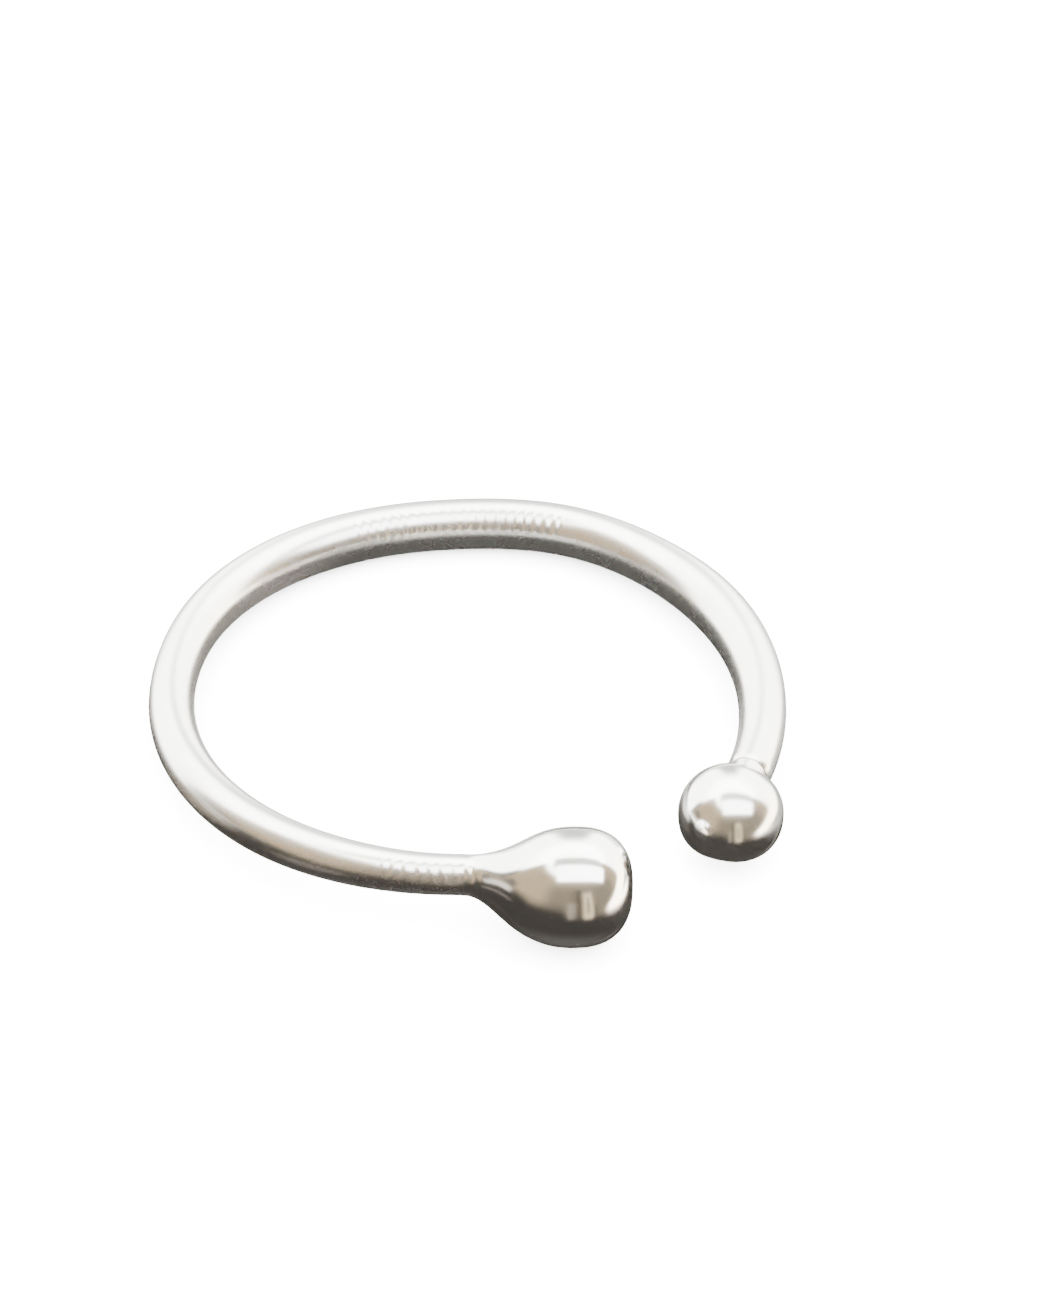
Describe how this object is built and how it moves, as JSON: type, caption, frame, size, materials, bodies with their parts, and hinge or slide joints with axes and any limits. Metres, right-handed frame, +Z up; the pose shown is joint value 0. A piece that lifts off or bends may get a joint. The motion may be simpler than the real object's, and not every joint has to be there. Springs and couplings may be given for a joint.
{
  "type": "adjustable open ring",
  "caption": "Plain polished silver finger ring, open at the front, of tapered round wire with a drop at one end and a soldered ball at the other.",
  "frame": {"origin": "On the table under the middle of the ring's box, as the ring rests there by itself on its drop and on the back of its hoop", "axes": "+Z up from the table, +Y towards the back of the hoop, +X towards the side with the ball; the drop and the ball face -Y"},
  "size_m": [0.02, 0.0218, 0.0036],
  "materials": {
    "polished_silver": "mirror polished silver with fine polishing ripples"
  },
  "bodies": {
    "root": {"ring": "polished_silver"}
  },
  "joints": []
}
